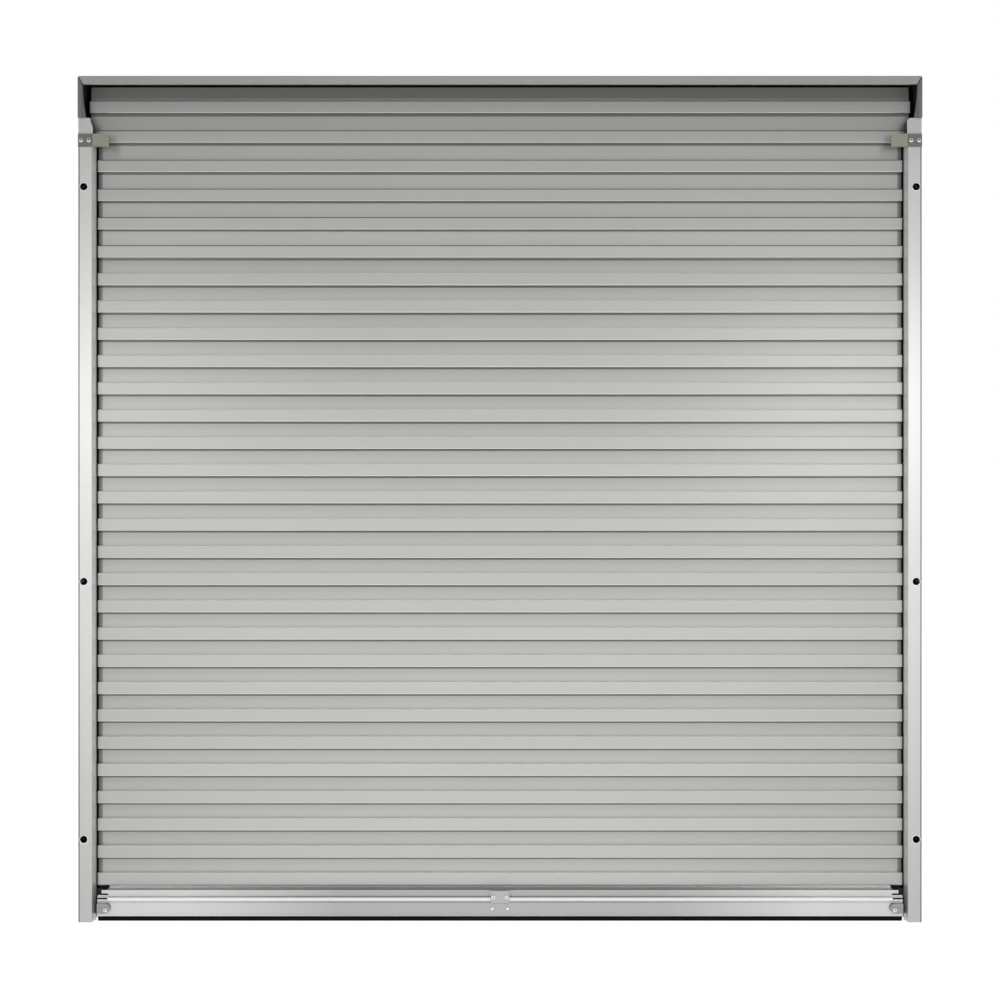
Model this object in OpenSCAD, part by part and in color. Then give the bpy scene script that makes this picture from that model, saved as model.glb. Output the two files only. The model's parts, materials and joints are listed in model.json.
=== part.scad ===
// Aluminium roller shutter: slatted curtain in two guide rails, wound on a spring drum in a headbox.
// Millimetres. X runs along the slats, Z is up from the sill, the slatted face looks towards -Y.

/* [Overall] */
// Overall width across the guide rails
overall_w = 1200; // [700:10:2000]

/* [Slats] */
// Height from one slat to the next, with closed joints
slat_pitch = 39.1; // [36:0.1:48]
// Height of the proud rib on each slat
ridge_h = 17.8; // [14:0.1:22]
// How far the rib stands in front of the recessed flat
ridge_proud = 6.5; // [5.5:0.1:9]
// Wall of the slat extrusion
slat_wall = 1.4; // [1:0.1:1.8]
// Radius of the bead on top of each slat
bead_r = 2.4; // [2:0.1:2.8]
// Play of the bead in its socket, on the radius
bead_play = 0.35; // [0.3:0.05:0.6]
// Height of the socket's lower centre above the rib's lower edge
bead_rise = 4.5; // [4.5:0.1:5.5]
// How far a joint opens when the slats hang
joint_play = 3.6; // [2.8:0.1:4.6]
// Swing of one slat against the next, on the drum side
slat_swing = 40; // [30:1:45]
// Lean of the top slat's flat towards the drum
top_lean = 8; // [0:0.5:12]
// Inset of the slat ends from the outer face of a rail
slat_inset = 12; // [10:0.5:14]

/* [Bottom rail] */
// Height of the bare bottom rail
bar_h = 36.5; // [33:0.5:45]
// Depth of the bottom rail's flat behind the rail faces
bar_u = 4; // [3:0.5:8]
// Dark groove between the bottom rail and the last slat
bar_groove = 4; // [3:0.5:8]
// Height of the rubber seal below the bottom rail
seal_h = 7.5; // [6:0.5:14]
// Gap left over the sill by the seal
sill_gap = 0.5; // [0.3:0.1:2]
// Height of the end stop blocks
block_h = 14; // [10:0.5:16]
// Length of the end stop blocks
block_w = 18.5; // [14:0.5:26]
// Thickness of the end stop blocks
block_t = 5; // [4:0.5:8]
// Width of the small plate at the middle
plate_w = 27; // [24:0.5:40]
// Height of the small plate at the middle
plate_h = 17; // [12:0.5:17]

/* [Guide rails] */
// Width of the rail's front face
rail_face = 19.5; // [19:0.5:26]
// How far the rail widens behind its front face
rail_draft = 2; // [1:0.1:3]
// Radius of the rail's front edges
rail_edge_r = 1; // [0.4:0.1:1.6]
// Depth of the hollow chamber in front of the curtain
chamber_d = 18; // [16:0.5:26]
// Wall of the rails
rail_wall = 1.8; // [1.5:0.1:2.2]
// Play of the curtain in front and behind, in the rails
slot_play = 1.2; // [1.2:0.1:2]
// Thickness of the seal strips in the rails
strip_t = 0.8; // [0.4:0.1:0.8]
// Diameter of the access holes in the rail faces
access_d = 10.5; // [9:0.5:11]
// Diameter of the screw holes in the rail backs
screw_hole_d = 5.2; // [4.2:0.1:6.5]
// Distance of the rail holes from the outer face
hole_inset = 7.8; // [7.4:0.1:8.4]
// Height of the lowest rail hole
hole_low = 118; // [60:1:250]
// Height of the middle rail hole
hole_mid = 485; // [350:1:700]
// Distance of the highest rail hole from the rail's top
hole_drop = 75; // [40:1:150]

/* [Rail tops] */
// Height of the inlet pieces on the rails
inlet_h = 22.8; // [18:0.2:30]
// Width left of the slanted inlet at its top
inlet_slant_w = 16.6; // [10:0.2:18]
// Corner radius of the rounded inlet
inlet_r = 7; // [5:0.5:12]
// Height of the stop brackets
bracket_h = 18.5; // [15:0.5:22]
// Reach of the stop brackets from the outer face of a rail
bracket_reach = 44; // [38:0.5:50]
// Plate thickness of the stop brackets
bracket_t = 2; // [1.5:0.1:2.2]
// Air left between stop block and stop flange at the top
stop_play = 0.3; // [0.3:0.1:2]

/* [Headbox] */
// Air between the top slat and the roof
head_room = 7; // [4:0.5:20]
// How far header and side lips stand in front of the rails
lip_fore = 4.5; // [4.2:0.1:10]
// Height of the header's front lip
lip_h = 12.2; // [8:0.1:20]
// Width of the side lips at their top
side_lip_w = 7; // [5.5:0.1:9]
// Radius of the side lips' curved inner edge
side_lip_r = 266; // [220:1:600]
// Depth of the side lips' outer leg
side_leg_d = 20; // [12:0.5:30]
// Sheet thickness of header, lips and back cover
sheet_t = 1.5; // [1:0.1:2]
// Open joint at the mitred corners
mitre_gap = 0.9; // [0.4:0.1:1.5]
// Thickness of the side plates
plate_t = 4; // [3:0.1:5]
// Radius of the fully wound curtain
roll_r = 72; // [70:0.5:90]
// Air round the fully wound curtain
roll_play = 2.75; // [2:0.25:8]

/* [Drum] */
// Outer radius of the drum tube
drum_r = 30; // [28:0.5:40]
// Wall of the drum tube
drum_wall = 1.5; // [1:0.1:2.5]
// Radius of the end discs
disc_r = 66; // [60:0.5:69]
// Thickness of the end discs
disc_t = 3; // [2:0.1:3.2]
// Air between the end discs and the slat ends
disc_play = 2; // [1.5:0.1:2.2]
// Radius of the fixed axle
axle_r = 8; // [6:0.5:10]
// Outer radius of the bearings
bearing_r = 16; // [14:0.5:18]
// Width of the bearings
bearing_w = 9.5; // [8:0.5:14]
// Length of the torsion spring
spring_l = 500; // [300:10:540]
// Outer radius of the torsion spring
spring_r = 22; // [20:0.5:24]
// Width of each hanger strap
strap_w = 45; // [30:1:60]
// Thickness of the hanger straps
strap_t = 1.6; // [1:0.1:2]

/* [Hidden] */
$fn = 48;
slat_count = 29;
strap_count = 3;
open_joints = 6;

// running clearances
turn_play = 0.3;
fit_play = 0.15;
seat_play = 0.1;
rail_air = 1;
// overlap of joined shapes and of cuts past a face
cut = 1;

half_w = overall_w / 2;
slat_l = overall_w - 2 * slat_inset;

// depths, measured back from the rail faces
socket_r = bead_r + bead_play;
ring_r = socket_r + slat_wall;
bead_v = ridge_proud + slat_wall / 2;
slat_d = bead_v + ring_r;
slat_u = chamber_d + slot_play;
rail_d = slat_u + slat_d + slot_play + rail_wall;
rail_w = rail_face + rail_draft;
axis_u = rail_d + roll_play + roll_r;
back_u = axis_u + roll_r + roll_play;
depth = lip_fore + back_u + sheet_t;
face_y = lip_fore - depth / 2;

// heights
bar_z = sill_gap + seal_h;
bar_top = bar_z + bar_h;
last_z = bar_top + bar_groove;
// lower edges of the slats from the top; the upper joints hang open, each less than the one above
slat_z = [for (n = [1:slat_count])
    let (open = max(0, open_joints - n + 1))
        last_z + (slat_count - n) * slat_pitch + joint_play * open * (open + 1) / (2 * open_joints)];
top_slat_z = slat_z[0];
top_flat_l = slat_pitch - ridge_h + slat_wall;
bracket_drop = 52.7;
bracket_z = top_slat_z - bracket_drop;
rail_top = bracket_z + bracket_h;
inlet_top = rail_top + inlet_h;
roof_z = top_slat_z + slat_pitch + head_room;
head_top = roof_z + sheet_t;
lip_z = head_top - lip_h;
axis_z = roof_z - roll_play - roll_r;
box_z = axis_z - roll_r - roll_play;

// bottom rail, heights above its lower edge and depths in front of or behind its flat
edge_h = 2.8;
edge_proud = 0.5;
flat_h = 19;
groove_back = 1.2;
rib_z = 21.7;
rib_h = 5.5;
rib_proud = 2;
recess_back = 3;
top_lip_h = 3;
top_lip_back = 2;
bar_wall = 1.6;
// its ends: the front part stops between the rails, the rib and the top stop before that
nose_gap = 4.6;
rib_stop = 19.3;
top_stop = 10.3;
top_stop_h = 6.5;
nose_l = overall_w - 2 * (rail_w + nose_gap);
// slot of the seal
slot_u = (bar_u + slat_u) / 2;
slot_neck = 3;
slot_head = 5.6;
slot_head_h = 2.7;
slot_lip = 1.8;
rubber_play = 0.3;
seal_stop = 1;
// thickness of the front wall behind the flat, which the blocks' screws and the rivets pass
bar_screw_l = groove_back + bar_wall;
end_slot_z = 23.8;
end_slot_h = 2.4;
end_slot_step = 5.4;

// fasteners
head_r = 3.2;
head_h = 1.8;
shank_r = 1.9;
shank_l = 8;
csk_r = 3.2;
csk_shank_r = 1.5;
csk_l = 12;
rivet_r = 2.6;
rivet_h = 1.3;
rivet_shank_r = 1.5;

// stop blocks under the ends of the bottom rail's rib
block_u = bar_u - block_t;
block_gap = 5;
block_under = 2.7;
block_screw_in = 6.6;
block_screw_drop = 9.2;
block_top = bar_z + rib_z - block_under;
block_z = block_top - block_h;
block_screw_x = half_w - rail_w - block_gap - block_w + block_screw_in;
block_screw_z = block_top - block_screw_drop;
lift = bracket_z - block_top - stop_play;

// plate, screws and rivets at the middle of the bottom rail
plate_edge = 0.9;
centre_plate_z = bar_top - plate_h;
centre_screws =
    [for (side = [-1, 1]) [side * (plate_w / 2 - head_r - plate_edge), centre_plate_z + plate_h / 2]];
centre_rivets =
    [for (side = [-1, 1]) [side * (plate_w / 2 - rivet_r), bar_z + (edge_h + flat_h) / 2]];

// holes of the rails, seal strips in their slots
strip_stop = 2;
strip_edge = 1.5;
strip_air = 0.5;
bracket_screw_out = 1.2;
bracket_screw_in = 0.9;
bracket_corner_r = 3;
flange_air = 1.2;
inlet_foot = 5;
rail_holes = [hole_low, hole_mid, rail_top - hole_drop];
bracket_screws = [bracket_screw_out + head_r, rail_face - bracket_screw_in - head_r];
bracket_screw_z = bracket_z + bracket_h / 2;

// headbox details
trim_t = 1.2;
lip_edge = 1;
lip_bend = 5;
lip_angle = 35;
hem_d = 4;
header_r = 1.8;
flange_h = 15;
panel_front = 3;
plate_lip = 0.3;
plate_x = half_w - sheet_t - plate_t;
cover_screws = 3;
// where the back cover is screwed: along the header's flange and into both side plates
cover_places = concat(
    [for (n = [1:cover_screws]) [(n / (cover_screws + 1) - 0.5) * overall_w, roof_z - flange_h / 2]],
    [for (side = [-1, 1], z = [box_z + 2 * flange_h, roof_z - 2 * flange_h])
        [side * (plate_x + plate_t / 2), z]]
);

// drum details
disc_x = slat_l / 2 + disc_play;
hub_l = 30;
hub_r = drum_r - drum_wall - seat_play;
disc_holes = 6;
disc_hole_r = 10;
disc_hole_at = (disc_r + drum_r) / 2;
anchor_l = 25;
anchor_lip = 2;
spring_wall = 5;
strap_span = slat_l / strap_count;
strap_drop = 5;
strap_leg = 14;

slat_names = [for (n = [1:slat_count]) str("slat_", n < 10 ? "0" : "", n)];

echo(lift = lift, depth = depth, head_top = head_top, axis_y = face_y + axis_u, axis_z = axis_z);
echo(slat_z = slat_z);

aluminium = "#b9bbb8";
bare = "#d4d6d5";
zinc = "#b4b1a4";
black = "#1c1d1e";
steel = "#8d9094";

// an outline in depth and height, drawn out along X about the middle
module along_x(length) {
    translate([0, face_y, 0])
        rotate([90, 0, 90])
            linear_extrude(height = length, center = true)
                children();
}

// an outline in inset and depth, drawn up from z; side is -1 for left and 1 for right
module up_from(z, height, side) {
    translate([side * half_w, face_y, z])
        mirror([side > 0 ? 1 : 0, 0, 0])
            linear_extrude(height = height)
                children();
}

// an outline in inset and height, drawn back from depth u; side is -1 for left and 1 for right
module back_from(u, length, side) {
    translate([side * half_w, face_y + u + length, 0])
        mirror([side > 0 ? 1 : 0, 0, 0])
            rotate([90, 0, 0])
                linear_extrude(height = length)
                    children();
}

// a round bar along Y from depth u, at x and z
module pin_y(x, z, u, length, r) {
    translate([x, face_y + u, z])
        rotate([-90, 0, 0])
            cylinder(h = length, r = r);
}

// a round bar along X between two places on the drum's axis
module on_axis(x0, x1, r) {
    translate([x0, face_y + axis_u, axis_z])
        rotate([0, 90, 0])
            cylinder(h = x1 - x0, r = r);
}

module box_2d(x0, y0, x1, y1) {
    translate([x0, y0])
        square([x1 - x0, y1 - y0]);
}

// what the bead's neck needs to pass and swing below a socket centred on the origin
module mouth_2d() {
    front = slat_wall / 2 + 2 * bead_play;
    low = ring_r + cut;
    polygon([[-front, 0], [-front, -low], [low * tan(slat_swing), -low], [0, 0]]);
}

// the bead and its neck, up from the lower edge of the slat above with its joint closed
module bead_2d(neck_from) {
    bead_z = bead_rise + joint_play;
    box_2d(ridge_proud, neck_from, ridge_proud + slat_wall, bead_z);
    translate([bead_v, bead_z])
        circle(r = bead_r);
}

// the tall socket that lets a bead slide up and down
module socket_2d() {
    box_2d(bead_v - socket_r, bead_rise, bead_v + socket_r, bead_rise + joint_play);
    for (z = [bead_rise, bead_rise + joint_play])
        translate([bead_v, z])
            circle(r = socket_r);
    translate([bead_v, bead_rise])
        mouth_2d();
}

// the hollow rib: front wall with round edges, chamber, and the socket behind its lower lip
module ridge_2d() {
    top = ridge_h - slat_wall;
    socket_top = bead_rise + joint_play + ring_r;
    difference() {
        union() {
            box_2d(0, slat_wall, slat_d, top);
            box_2d(slat_wall, 0, slat_d, ridge_h);
            translate([slat_wall, slat_wall])
                circle(r = slat_wall);
            translate([slat_wall, top])
                circle(r = slat_wall);
        }
        box_2d(slat_wall, socket_top, slat_d - slat_wall, top);
        difference() {
            box_2d(slat_wall, -cut, slat_d + cut, bead_rise);
            translate([bead_v, bead_rise])
                circle(r = ring_r);
        }
        box_2d(slat_wall, bead_rise, bead_v - ring_r, socket_top - slat_wall);
        socket_2d();
    }
}

// slat n, counted from the top
module slat(n) {
    color(aluminium)
        along_x(slat_l)
            translate([slat_u, slat_z[n - 1]]) {
                ridge_2d();
                box_2d(ridge_proud, ridge_h - slat_wall, ridge_proud + slat_wall, slat_pitch);
                translate([0, slat_pitch])
                    bead_2d(-cut);
            }
}

// outlines on the top slat's leaning flat: x through its wall, y up from its foot
module leaning_2d() {
    translate([slat_u + ridge_proud, top_slat_z + ridge_h - slat_wall])
        rotate(-top_lean)
            children();
}

// the top slat has no bead: its flat leans back and ends plain below the roof
module top_slat() {
    color(aluminium)
        along_x(slat_l) {
            translate([slat_u, top_slat_z])
                ridge_2d();
            leaning_2d()
                box_2d(0, slat_wall / 2, slat_wall, top_flat_l);
        }
}

// the rail's outer shape: front chamber, outer wall and back wall round the curtain's slot
module rail_outline_2d() {
    lean = atan2(rail_draft, chamber_d);
    inner_x = rail_face - rail_edge_r * (1 - sin(lean)) / cos(lean);
    polygon([
        [0, rail_edge_r], [rail_edge_r, 0], [inner_x, 0],
        [inner_x + rail_edge_r * cos(lean), rail_edge_r * (1 - sin(lean))],
        [rail_w, chamber_d], [0, chamber_d]
    ]);
    for (x = [rail_edge_r, inner_x])
        translate([x, rail_edge_r])
            circle(r = rail_edge_r);
    box_2d(0, rail_edge_r, rail_wall, rail_d);
    box_2d(0, rail_d - rail_wall, rail_w, rail_d);
}

module rail_2d() {
    difference() {
        rail_outline_2d();
        polygon([
            [rail_wall, rail_wall], [rail_face - rail_wall, rail_wall],
            [rail_w - rail_wall, chamber_d - rail_wall], [rail_wall, chamber_d - rail_wall]
        ]);
    }
}

module rail(side) {
    color(aluminium)
        difference() {
            up_from(0, rail_top, side)
                rail_2d();
            for (z = rail_holes) {
                pin_y(side * (half_w - hole_inset), z, -cut, chamber_d + 2 * cut, access_d / 2);
                pin_y(side * (half_w - hole_inset), z, chamber_d, rail_d, screw_hole_d / 2);
            }
            for (inset = bracket_screws)
                pin_y(side * (half_w - inset), bracket_screw_z, -cut, chamber_d / 2,
                    shank_r + fit_play);
        }
}

// strips that close the slot in front of and behind the curtain
module rail_seals() {
    strip_in = rail_w - strip_edge;
    strip_out = hole_inset + access_d / 2 + strip_air;
    strip_l = rail_top - 2 * strip_stop;
    color(black)
        for (side = [-1, 1]) {
            up_from(strip_stop, strip_l, side)
                box_2d(strip_out, chamber_d, strip_in, chamber_d + strip_t);
            up_from(strip_stop, strip_l, side)
                box_2d(strip_out, rail_d - rail_wall - strip_t, strip_in, rail_d - rail_wall);
        }
}

// an inlet's outline: as wide in front as the rail is at its widest, open round the curtain
module inlet_2d() {
    box_2d(rail_edge_r, 0, rail_w - rail_edge_r, chamber_d);
    box_2d(0, rail_edge_r, rail_w, chamber_d);
    for (x = [rail_edge_r, rail_w - rail_edge_r])
        translate([x, rail_edge_r])
            circle(r = rail_edge_r);
    box_2d(0, rail_edge_r, rail_wall, rail_d);
    box_2d(0, rail_d - rail_wall, rail_w, rail_d);
}

module inlet_left() {
    color(aluminium)
        difference() {
            up_from(rail_top, inlet_h, -1)
                inlet_2d();
            back_from(-cut, rail_d + 2 * cut, -1)
                polygon([
                    [rail_w, rail_top + inlet_foot], [rail_w + cut, rail_top + inlet_foot],
                    [rail_w + cut, inlet_top + cut], [inlet_slant_w, inlet_top + cut],
                    [inlet_slant_w, inlet_top]
                ]);
        }
}

module inlet_right() {
    color(aluminium)
        difference() {
            up_from(rail_top, inlet_h, 1)
                inlet_2d();
            back_from(-cut, rail_d + 2 * cut, 1)
                difference() {
                    box_2d(rail_w - inlet_r, inlet_top - inlet_r, rail_w + cut, inlet_top + cut);
                    translate([rail_w - inlet_r, inlet_top - inlet_r])
                        circle(r = inlet_r);
                }
        }
}

// plate on the rail face, folded back below into a stop that clears the bottom rail's flat and rib
module stop_bracket(side) {
    fold_from = rail_w + rail_air;
    fold_to = min(bracket_reach, rail_w + rib_stop - rail_air);
    fold_d = bracket_t + bar_u - flange_air;
    corner_in = bracket_reach - bracket_corner_r;
    corner_z = rail_top - bracket_corner_r;
    color(zinc)
        difference() {
            union() {
                back_from(-bracket_t, bracket_t, side) {
                    box_2d(0, bracket_z, bracket_reach, corner_z);
                    box_2d(0, bracket_z, corner_in, rail_top);
                    translate([corner_in, corner_z])
                        circle(r = bracket_corner_r);
                }
                back_from(-bracket_t, fold_d, side)
                    box_2d(fold_from, bracket_z, fold_to, bracket_z + bracket_t);
            }
            for (inset = bracket_screws)
                pin_y(side * (half_w - inset), bracket_screw_z, -2 * bracket_t,
                    3 * bracket_t, shank_r + fit_play);
        }
}

// pan head screw whose head rests on depth u and whose shank points back
module pan_screw(x, z, u) {
    pin_y(x, z, u - head_h, head_h, head_r);
    pin_y(x, z, u - head_h / 2, shank_l + head_h / 2, shank_r);
}

// flush screw in the back cover, pointing to the front; play widens it into its own hole
module flush_screw(x, z, play, length) {
    translate([x, face_y + back_u + sheet_t, z])
        rotate([90, 0, 0]) {
            cylinder(h = sheet_t, r1 = csk_r + play, r2 = csk_shank_r + play);
            cylinder(h = length, r = csk_shank_r + play);
        }
}

// the holes of all flush screws, open at the back
module flush_holes(play) {
    for (place = cover_places) {
        flush_screw(place[0], place[1], play, csk_l + cut);
        pin_y(place[0], place[1], back_u + sheet_t, cut, csk_r + play);
    }
}

module frame_screws() {
    color(steel) {
        for (side = [-1, 1], inset = bracket_screws)
            pan_screw(side * (half_w - inset), bracket_screw_z, -bracket_t);
        for (place = cover_places)
            flush_screw(place[0], place[1], 0, csk_l);
    }
}

// dark side plate: carries the axle, stands on the inlet and reaches down behind the rail
module side_plate(side) {
    front = 2 * sheet_t - lip_fore;
    low = inlet_top + plate_lip;
    heel = rail_d + panel_front;
    foot = box_z + sheet_t + plate_lip;
    top = roof_z - plate_lip;
    x = side * (plate_x + plate_t / 2);
    color(black)
        difference() {
            translate([x, 0, 0])
                along_x(plate_t)
                    polygon([
                        [front, low], [heel, low], [heel, foot],
                        [back_u - plate_lip, foot], [back_u - plate_lip, top], [front, top]
                    ]);
            on_axis(x - plate_t, x + plate_t, axle_r + fit_play);
            flush_holes(fit_play);
        }
}

// front lip, bent back towards its curved inner edge and mitred to the header, with its leg
module side_lip(side) {
    lip_low = inlet_top;
    widest = side_lip_w + pow(lip_z - lip_low, 2) / side_lip_r;
    back = (widest - lip_bend) * tan(lip_angle);
    color(aluminium) {
        intersection() {
            up_from(lip_low, head_top - lip_low, side)
                translate([0, -lip_fore])
                    polygon([
                        [0, lip_edge], [lip_edge, 0], [lip_bend, 0], [widest, back],
                        [widest, back + sheet_t], [lip_bend, sheet_t], [0, sheet_t]
                    ]);
            back_from(-lip_fore, back + sheet_t, side)
                difference() {
                    polygon([
                        [0, lip_low], [widest, lip_low], [widest, lip_z - mitre_gap],
                        [side_lip_w, lip_z - mitre_gap], [0, head_top - mitre_gap]
                    ]);
                    translate([side_lip_w + side_lip_r, lip_z])
                        circle(r = side_lip_r, $fn = 240);
                    box_2d(side_lip_w, lip_z - mitre_gap - cut, widest + cut, head_top);
                }
        }
        back_from(lip_edge - lip_fore, side_leg_d - lip_edge, side)
            box_2d(0, lip_low, trim_t, roof_z - plate_lip);
    }
}

// front lip and roof of the headbox in one folded sheet
module header() {
    lip_front = -lip_fore;
    color(aluminium)
        difference() {
            along_x(overall_w)
                difference() {
                    union() {
                        box_2d(lip_front, lip_z, lip_front + sheet_t, head_top);
                        box_2d(lip_front, lip_z, lip_front + hem_d, lip_z + sheet_t);
                        box_2d(lip_front, roof_z, back_u - seat_play, head_top);
                        box_2d(back_u - seat_play - sheet_t, roof_z - flange_h,
                            back_u - seat_play, head_top);
                    }
                    difference() {
                        box_2d(lip_front - cut, head_top - header_r, lip_front + header_r, head_top + cut);
                        translate([lip_front + header_r, head_top - header_r])
                            circle(r = header_r);
                    }
                }
            for (side = [-1, 1]) {
                back_from(-lip_fore - cut, lip_fore + cut, side)
                    polygon([
                        [-cut, lip_z - cut], [side_lip_w + mitre_gap, lip_z - cut],
                        [side_lip_w + mitre_gap, lip_z], [mitre_gap, head_top],
                        [mitre_gap, head_top + cut], [-cut, head_top + cut]
                    ]);
                back_from(0, back_u, side)
                    box_2d(-cut, roof_z - flange_h - cut, half_w - plate_x + plate_lip, roof_z);
            }
            flush_holes(fit_play);
        }
}

// back wall and floor of the headbox, with a stiffening fold behind the rails
module back_cover() {
    color(aluminium)
        difference() {
            along_x(overall_w) {
                box_2d(back_u, box_z, back_u + sheet_t, head_top);
                box_2d(rail_d + panel_front, box_z, back_u + sheet_t, box_z + sheet_t);
            }
            flush_holes(seat_play);
        }
}

module axle() {
    end = plate_x + plate_t - plate_lip;
    color(steel)
        on_axis(-end, end, axle_r);
}

module drum_bearings() {
    outer = disc_x + disc_t - plate_lip;
    color(steel)
        for (side = [-1, 1])
            difference() {
                on_axis(min(side * outer, side * (outer - bearing_w)),
                    max(side * outer, side * (outer - bearing_w)), bearing_r);
                on_axis(-half_w, half_w, axle_r + fit_play);
            }
}

module drum_tube() {
    color(steel)
        difference() {
            on_axis(-disc_x, disc_x, drum_r);
            on_axis(-half_w, half_w, drum_r - drum_wall);
        }
}

// end disc with the plug that fills the tube's end and the seat of its bearing
module drum_disc(side) {
    module span(from, to, r) {
        on_axis(min(side * from, side * to), max(side * from, side * to), r);
    }
    outer = disc_x + disc_t;
    color(black)
        difference() {
            union() {
                span(disc_x, outer, disc_r);
                span(disc_x - hub_l, outer, hub_r);
            }
            span(outer - bearing_w - plate_lip - turn_play, outer + cut, bearing_r + turn_play);
            span(disc_x - hub_l - cut, outer, axle_r + 2 * turn_play);
            for (n = [0:disc_holes - 1])
                translate([0, disc_hole_at * cos(n * 360 / disc_holes),
                    disc_hole_at * sin(n * 360 / disc_holes)])
                    span(disc_x - cut, outer + cut, disc_hole_r);
        }
}

module torsion_spring() {
    color(steel)
        difference() {
            on_axis(-spring_l / 2, spring_l / 2, spring_r);
            on_axis(-half_w, half_w, spring_r - spring_wall);
        }
}

// clamp on the axle that holds the spring's still end
module spring_anchor() {
    color(black)
        difference() {
            on_axis(-spring_l / 2 - anchor_l, -spring_l / 2, spring_r + anchor_lip);
            on_axis(-half_w, half_w, axle_r + fit_play);
        }
}

// plug in the tube that holds the spring's turning end
module spring_plug() {
    from = spring_l / 2 + turn_play;
    color(black)
        difference() {
            on_axis(from, from + anchor_l, hub_r);
            on_axis(-half_w, half_w, axle_r + 2 * turn_play);
        }
}

// spring straps fixed behind the top slat's flat and laid over the drum
module hanger_straps() {
    leg = slat_wall + seat_play;
    leg_top = top_flat_l - strap_drop;
    lean = [[cos(top_lean), sin(top_lean)], [-sin(top_lean), cos(top_lean)]];
    bend_at = [slat_u + ridge_proud, top_slat_z + ridge_h - slat_wall]
        + lean * [leg + strap_t / 2, leg_top];
    axis_at = [axis_u, axis_z];
    lay_r = drum_r + turn_play + strap_t / 2;
    reach = bend_at - axis_at;
    touch = atan2(reach[1], reach[0]) - acos(lay_r / norm(reach));
    touch_at = axis_at + lay_r * [cos(touch), sin(touch)];
    run = touch_at - bend_at;
    color(black)
        for (n = [1:strap_count])
            translate([(n - (strap_count + 1) / 2) * strap_span, 0, 0])
                along_x(strap_w) {
                    leaning_2d()
                        box_2d(leg, leg_top - strap_leg, leg + strap_t, leg_top);
                    translate(bend_at) {
                        circle(r = strap_t / 2);
                        rotate(atan2(run[1], run[0]))
                            box_2d(0, -strap_t / 2, norm(run) + cut, strap_t / 2);
                    }
                    translate(axis_at)
                        intersection() {
                            difference() {
                                circle(r = lay_r + strap_t / 2);
                                circle(r = lay_r - strap_t / 2);
                            }
                            rotate(touch - 90)
                                square(2 * drum_r);
                        }
                }
}

// the bottom rail's tongue that runs in the rails, with the bead for the last slat
module bar_tongue_2d() {
    back = slat_u + slat_d;
    difference() {
        box_2d(slat_u, 0, back, bar_h);
        box_2d(slat_u + bar_wall, bar_wall, back - bar_wall, rib_z - bar_wall / 2);
        box_2d(slat_u + bar_wall, rib_z + bar_wall / 2, back - bar_wall, bar_h - bar_wall);
    }
    translate([slat_u, bar_h + bar_groove])
        bead_2d(-bar_groove - cut);
}

// its hollow front part between the rails, with the slot of the seal below
module bar_nose_2d() {
    back = slat_u + bar_wall;
    slot_top = slot_lip + slot_head_h;
    difference() {
        union() {
            box_2d(bar_u - edge_proud, 0, back, edge_h);
            box_2d(bar_u, 0, back, flat_h);
            box_2d(bar_u + groove_back, 0, back, rib_z + cut);
            box_2d(bar_u, rib_z, back, rib_z + rib_h);
            box_2d(bar_u + recess_back, 0, back, bar_h);
            box_2d(bar_u + top_lip_back, bar_h - top_lip_h, back, bar_h);
        }
        box_2d(slot_u - slot_neck / 2, -cut, slot_u + slot_neck / 2, slot_lip + cut);
        box_2d(slot_u - slot_head / 2, slot_lip, slot_u + slot_head / 2, slot_top);
        box_2d(bar_u + groove_back + bar_wall, slot_top + bar_wall, slat_u, rib_z - bar_wall / 2);
        box_2d(bar_u + bar_wall, rib_z + bar_wall / 2, slat_u, rib_z + rib_h - bar_wall);
        box_2d(bar_u + recess_back + bar_wall, rib_z + bar_wall / 2, slat_u, bar_h - bar_wall);
    }
}

// the rib's round-edged front, drawn only between the stop brackets
module rib_2d() {
    nose_r = rib_h / 4;
    front = bar_u - rib_proud;
    box_2d(front + nose_r, rib_z, bar_u + cut, rib_z + rib_h);
    box_2d(front, rib_z + nose_r, bar_u, rib_z + rib_h - nose_r);
    for (z = [rib_z + nose_r, rib_z + rib_h - nose_r])
        translate([front + nose_r, z])
            circle(r = nose_r);
}

module bottom_rail() {
    rib_l = overall_w - 2 * (rail_w + rib_stop);
    color(bare)
        difference() {
            union() {
                along_x(slat_l)
                    translate([0, bar_z])
                        bar_tongue_2d();
                along_x(nose_l)
                    translate([0, bar_z])
                        bar_nose_2d();
                along_x(rib_l)
                    translate([0, bar_z])
                        rib_2d();
            }
            for (side = [-1, 1]) {
                for (n = [0, 1])
                    back_from(bar_u - cut, recess_back + bar_wall + 2 * cut, side)
                        translate([rail_w, bar_z + end_slot_z + n * end_slot_step])
                            square([rib_stop, end_slot_h]);
                back_from(bar_u - cut, slat_u - bar_u + cut, side)
                    box_2d(rail_w, bar_top - top_stop_h, rail_w + top_stop, bar_top + cut);
                pin_y(side * block_screw_x, block_screw_z, bar_u - cut, bar_screw_l + 2 * cut,
                    shank_r + fit_play);
            }
            for (place = centre_screws)
                pin_y(place[0], place[1], bar_u - rib_proud - cut, shank_l + 2 * cut,
                    shank_r + fit_play);
            for (place = centre_rivets)
                pin_y(place[0], place[1], bar_u - cut, bar_screw_l + 2 * cut,
                    rivet_shank_r + fit_play);
        }
}

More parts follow.
